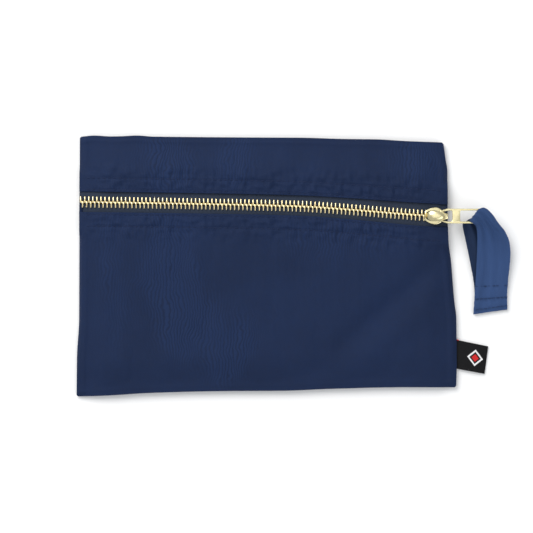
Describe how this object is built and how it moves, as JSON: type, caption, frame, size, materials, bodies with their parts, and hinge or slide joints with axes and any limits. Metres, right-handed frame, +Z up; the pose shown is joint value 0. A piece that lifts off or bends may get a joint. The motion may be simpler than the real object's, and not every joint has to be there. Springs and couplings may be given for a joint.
{
  "type": "cash deposit bag",
  "caption": "Small flat cloth cash deposit bag with a metal zip across its front, a ribbon pull strap on the slider and a side label.",
  "frame": {"origin": "middle of the underside of the back panel, which the bag lies on", "axes": "+X right along the width as seen from the front, +Y towards the edge nearest the zip, +Z up out of the front"},
  "size_m": [0.2362, 0.1425, 0.0115],
  "materials": {
    "navy_cloth": "plain woven nylon, soft sheen",
    "navy_ribbon": "ribbed nylon ribbon",
    "zip_tape": "woven cotton tape",
    "navy_thread": "twisted sewing thread",
    "red_thread": "twisted sewing thread",
    "woven_label": "satin woven label",
    "brass": "polished pale brass",
    "spring_steel": "bright strip"
  },
  "bodies": {
    "bag": {"back_panel": "navy_cloth", "left_seam_binding": "navy_cloth", "right_seam_binding": "navy_cloth", "left_seam_stitch": "navy_thread", "right_seam_stitch": "navy_thread", "label_tack_thread": "red_thread"},
    "lower_lip": {"front_lower_panel": "navy_cloth", "lower_tape": "zip_tape", "lower_teeth": "brass", "lower_edge_stitch": "navy_thread", "lower_hem_stitch": "navy_thread"},
    "upper_lip": {"front_upper_panel": "navy_cloth", "upper_tape": "zip_tape", "upper_teeth": "brass", "upper_edge_stitch": "navy_thread", "upper_hem_stitch": "navy_thread"},
    "slider": {"slider_body": "brass", "slider_crown": "brass", "slider_lock_spring": "spring_steel"},
    "puller": {"puller": "brass"},
    "strap_root": {"strap_loop": "navy_ribbon"},
    "strap": {"strap_tail": "navy_ribbon", "strap_stitch": "navy_thread"},
    "label": {"label": "woven_label"}
  },
  "joints": [
    {"name": "slider_travel", "type": "slide", "parent": "bag", "child": "slider", "axis": [-0.9991, 0.0419, 0], "range_m": [0, 0.176], "deforming": ["upper_teeth", "lower_teeth", "upper_tape", "lower_tape", "strap_tail", "strap_stitch", "strap_loop"]},
    {"name": "lower_lip_open", "type": "hinge", "parent": "bag", "child": "lower_lip", "pos_m": [0, -0.06865, 0.0015], "axis": [0.9997, 0.0236, 0], "range_deg": [0, 12]},
    {"name": "upper_lip_open", "type": "hinge", "parent": "bag", "child": "upper_lip", "pos_m": [-0.00255, 0.0695, 0.0015], "axis": [-0.9998, 0.0192, 0], "range_deg": [0, 34]},
    {"name": "puller_lift", "type": "hinge", "parent": "slider", "child": "puller", "pos_m": [0.0946, 0.02741, 0.0096], "axis": [0, -1, 0], "range_deg": [0, 160]},
    {"name": "strap_drape", "type": "hinge", "parent": "puller", "child": "strap_root", "pos_m": [0.11755, 0.02741, 0.0096], "axis": [-1, 0, 0], "range_deg": [0, 20]},
    {"name": "strap_swing", "type": "hinge", "parent": "strap_root", "child": "strap", "pos_m": [0.11755, 0.02741, 0.0096], "axis": [0, 0, 1], "range_deg": [0, 80], "deforming": ["strap_loop"]},
    {"name": "label_fold", "type": "hinge", "parent": "bag", "child": "label", "pos_m": [0.1039, -0.048, 0.0006], "axis": [0, -1, 0], "range_deg": [0, 80]}
  ],
  "couplings": [
    {"joint": "lower_lip_open", "follows": "slider_travel", "rad_per_m": 1.18},
    {"joint": "upper_lip_open", "follows": "slider_travel", "rad_per_m": 3.36},
    {"joint": "strap_drape", "follows": "slider_travel", "rad_per_m": 1.98}
  ]
}
